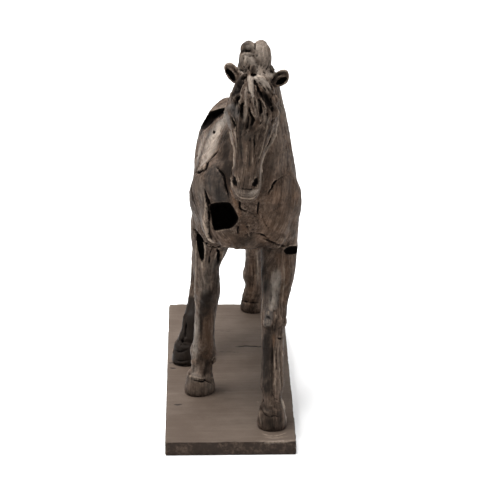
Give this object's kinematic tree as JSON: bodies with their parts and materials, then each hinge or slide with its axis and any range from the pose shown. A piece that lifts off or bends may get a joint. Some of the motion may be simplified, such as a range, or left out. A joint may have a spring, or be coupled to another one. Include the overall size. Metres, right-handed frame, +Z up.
{
  "type": "horse statue",
  "caption": "Cast resin statue of a walking horse, carved to look like weathered driftwood with a bound topknot, cracks and hollows, standing on a thin rectangular plinth.",
  "frame": {"origin": "centre of the plinth's underside", "axes": "+Z up, the horse faces -Y, +X is the horse's left"},
  "size_m": [0.1898, 0.5328, 0.5376],
  "materials": {
    "driftwood_resin": "satin brown-grey resin with dark crevices and rubbed light ridges",
    "plinth_resin": "matte brown-grey resin with fine grain"
  },
  "bodies": {
    "root": {"horse": "driftwood_resin", "plinth": "plinth_resin"}
  },
  "joints": []
}
